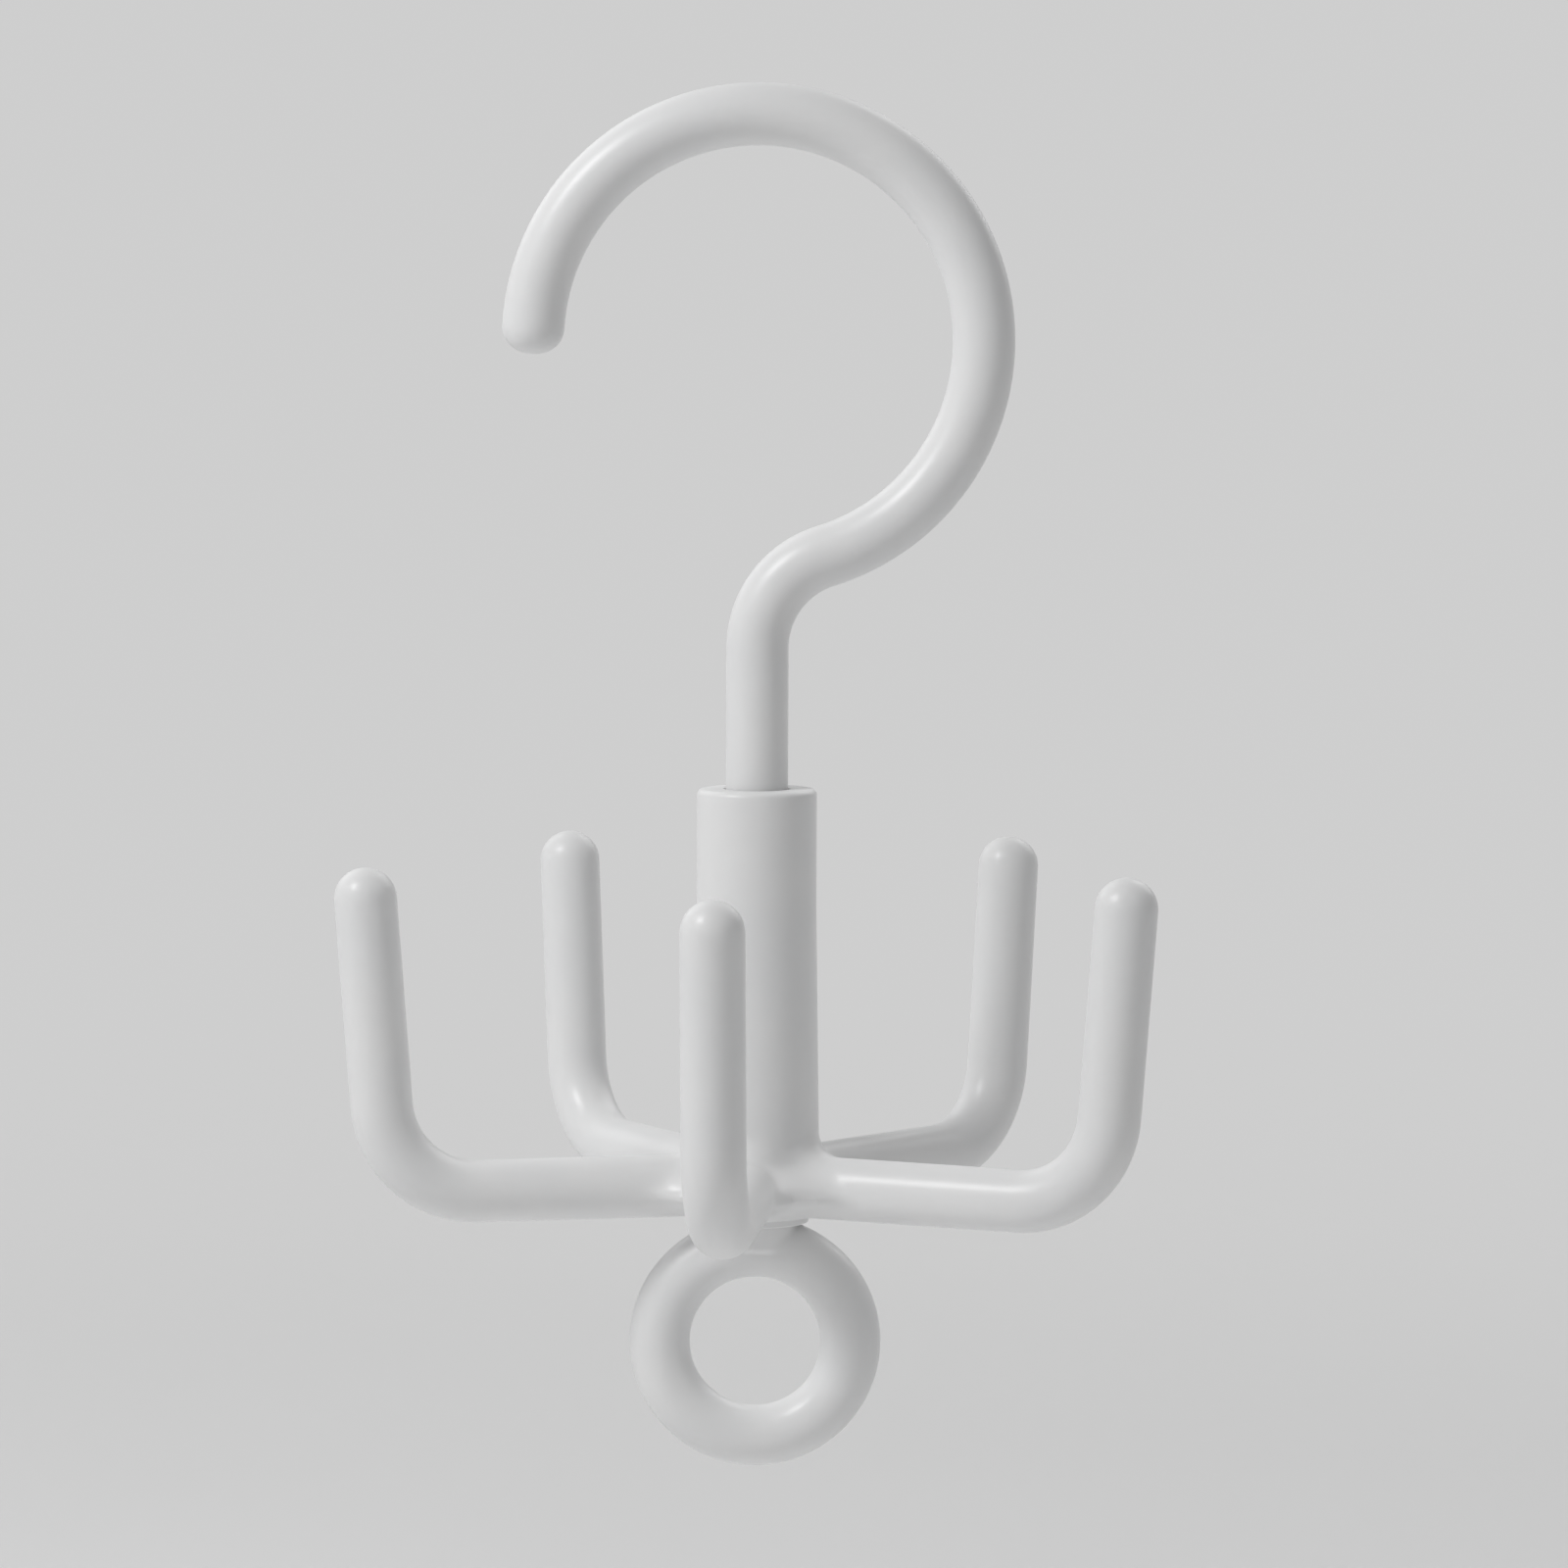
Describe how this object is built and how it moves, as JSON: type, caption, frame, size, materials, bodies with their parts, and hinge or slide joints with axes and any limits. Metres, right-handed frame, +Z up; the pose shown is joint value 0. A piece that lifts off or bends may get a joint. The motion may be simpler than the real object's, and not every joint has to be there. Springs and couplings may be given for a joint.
{
  "type": "rotating closet hook",
  "caption": "Plastic hook that hangs from a closet rod, with upturned claws that turn below it on a vertical swivel and a small ring underneath.",
  "frame": {"origin": "inside crown of the bow, where it rests on the closet rod", "axes": "+Z up along the swivel axis; the bow lies in the XZ plane and its mouth faces -X; the closet rod runs along Y"},
  "size_m": [0.1078, 0.1062, 0.1848],
  "materials": {
    "hook_plastic": "satin, injection-moulded, undecorated",
    "claw_plastic": "satin, injection-moulded, undecorated",
    "ring_plastic": "satin, injection-moulded, undecorated",
    "washer_steel": "zinc-plated, stamped",
    "screw_steel": "zinc-plated"
  },
  "bodies": {
    "hook": {"top_hook": "hook_plastic", "thrust_washer": "washer_steel", "retaining_screw": "screw_steel"},
    "claws": {"claw_body": "claw_plastic", "ring_plug": "ring_plastic"}
  },
  "joints": [
    {"name": "swivel", "type": "hinge", "parent": "hook", "child": "claws", "pos_m": [0, 0, -0.0853], "axis": [0, 0, 1], "continuous": true}
  ]
}
